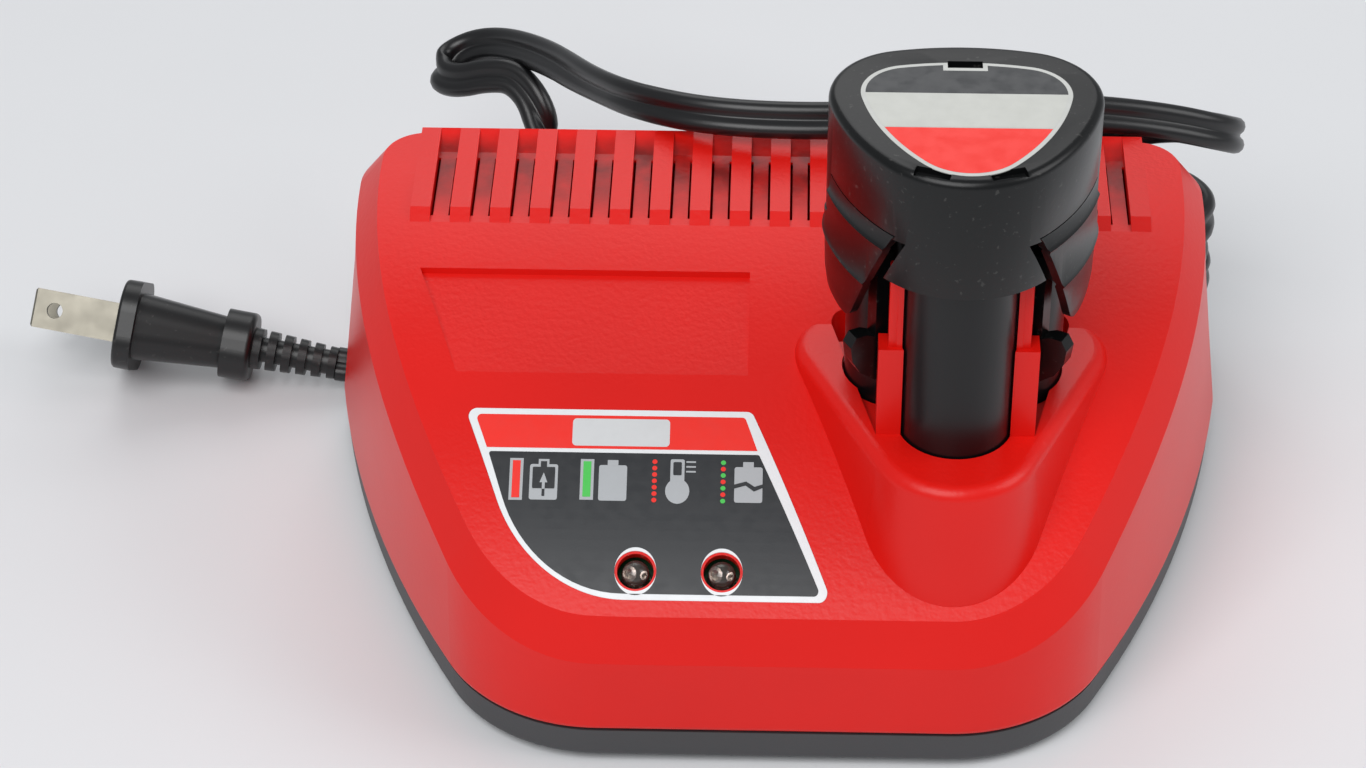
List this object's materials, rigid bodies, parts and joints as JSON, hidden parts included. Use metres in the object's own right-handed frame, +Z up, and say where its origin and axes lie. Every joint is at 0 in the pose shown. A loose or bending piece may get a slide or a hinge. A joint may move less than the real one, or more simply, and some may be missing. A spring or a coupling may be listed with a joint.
{
  "type": "battery_charger",
  "caption": "Bench charger for stick batteries: red housing with louvred top, status lamps, a battery standing in its tower with squeeze latches, and a supply cord with plug.",
  "frame": {"origin": "on the ground, under the middle of the housing", "axes": "+Z up, +X to the right along the housing's width, -Y towards the user, where the battery tower stands"},
  "size_m": [0.2459, 0.1717, 0.118],
  "materials": {
    "red_housing": "satin",
    "black_cap": "satin",
    "grey_base": "matte",
    "black_rubber": "matte",
    "zinc_steel": "satin",
    "printed_label": "satin",
    "smoked_lens": "gloss",
    "board_laminate": "satin",
    "ferrite": "matte",
    "black_plastic": "matte",
    "copper_wire": "satin",
    "capacitor_sleeve": "satin",
    "lamp_glass": "gloss",
    "bare_aluminium": "satin",
    "contact_brass": "satin",
    "black_sleeve": "satin",
    "cell_can": "satin",
    "nickel_strip": "satin",
    "silver_label": "satin",
    "cord_jacket": "satin",
    "tie_strip": "matte",
    "plug_vinyl": "satin",
    "nickel_blade": "satin"
  },
  "bodies": {
    "charger": {"upper_housing": "red_housing", "lower_housing": "grey_base", "rubber_feet": "black_rubber", "case_screws": "zinc_steel", "indicator_label": "printed_label", "red_led": "smoked_lens", "green_led": "smoked_lens", "indicator_board": "board_laminate", "indicator_screws": "zinc_steel", "circuit_board": "board_laminate", "board_screws": "zinc_steel", "transformer_core": "ferrite", "transformer_bobbin": "black_plastic", "transformer_winding": "copper_wire", "input_capacitor": "capacitor_sleeve", "output_capacitors": "capacitor_sleeve", "filter_choke": "ferrite", "fuse": "lamp_glass", "heat_sink": "bare_aluminium", "power_transistor": "black_plastic", "rectifier": "black_plastic", "microcontroller": "black_plastic", "contact_block": "black_plastic", "charge_contacts": "contact_brass", "cord_bushing": "black_rubber", "cord_hank": "cord_jacket", "hank_tie": "tie_strip", "cord_lead": "cord_jacket", "power_cord": "cord_jacket", "plug_body": "plug_vinyl", "plug_blades": "nickel_blade", "plug_strain_relief": "plug_vinyl"},
    "battery": {"battery_cap": "black_cap", "battery_label": "silver_label", "stem_shell": "black_sleeve", "front_cell": "cell_can", "right_cell": "cell_can", "left_cell": "cell_can", "cell_straps": "nickel_strip", "protection_board": "board_laminate", "battery_terminals": "contact_brass"},
    "right_latch": {"right_release_latch": "black_cap"},
    "left_latch": {"left_release_latch": "black_cap"}
  },
  "joints": [
    {"name": "battery_lift", "type": "slide", "parent": "charger", "child": "battery", "axis": [0, 0, 1], "range_m": [0, 0.05]},
    {"name": "right_latch_squeeze", "type": "hinge", "parent": "battery", "child": "right_latch", "pos_m": [0.04113, -0.03578, 0.1025], "axis": [0.5, 0.866, 0], "range_deg": [0, 2.5], "stiffness_Nm_per_rad": 0.05},
    {"name": "left_latch_squeeze", "type": "hinge", "parent": "battery", "child": "left_latch", "pos_m": [0.02148, -0.03578, 0.1025], "axis": [0.5, -0.866, 0], "range_deg": [0, 2.5], "stiffness_Nm_per_rad": 0.05}
  ]
}
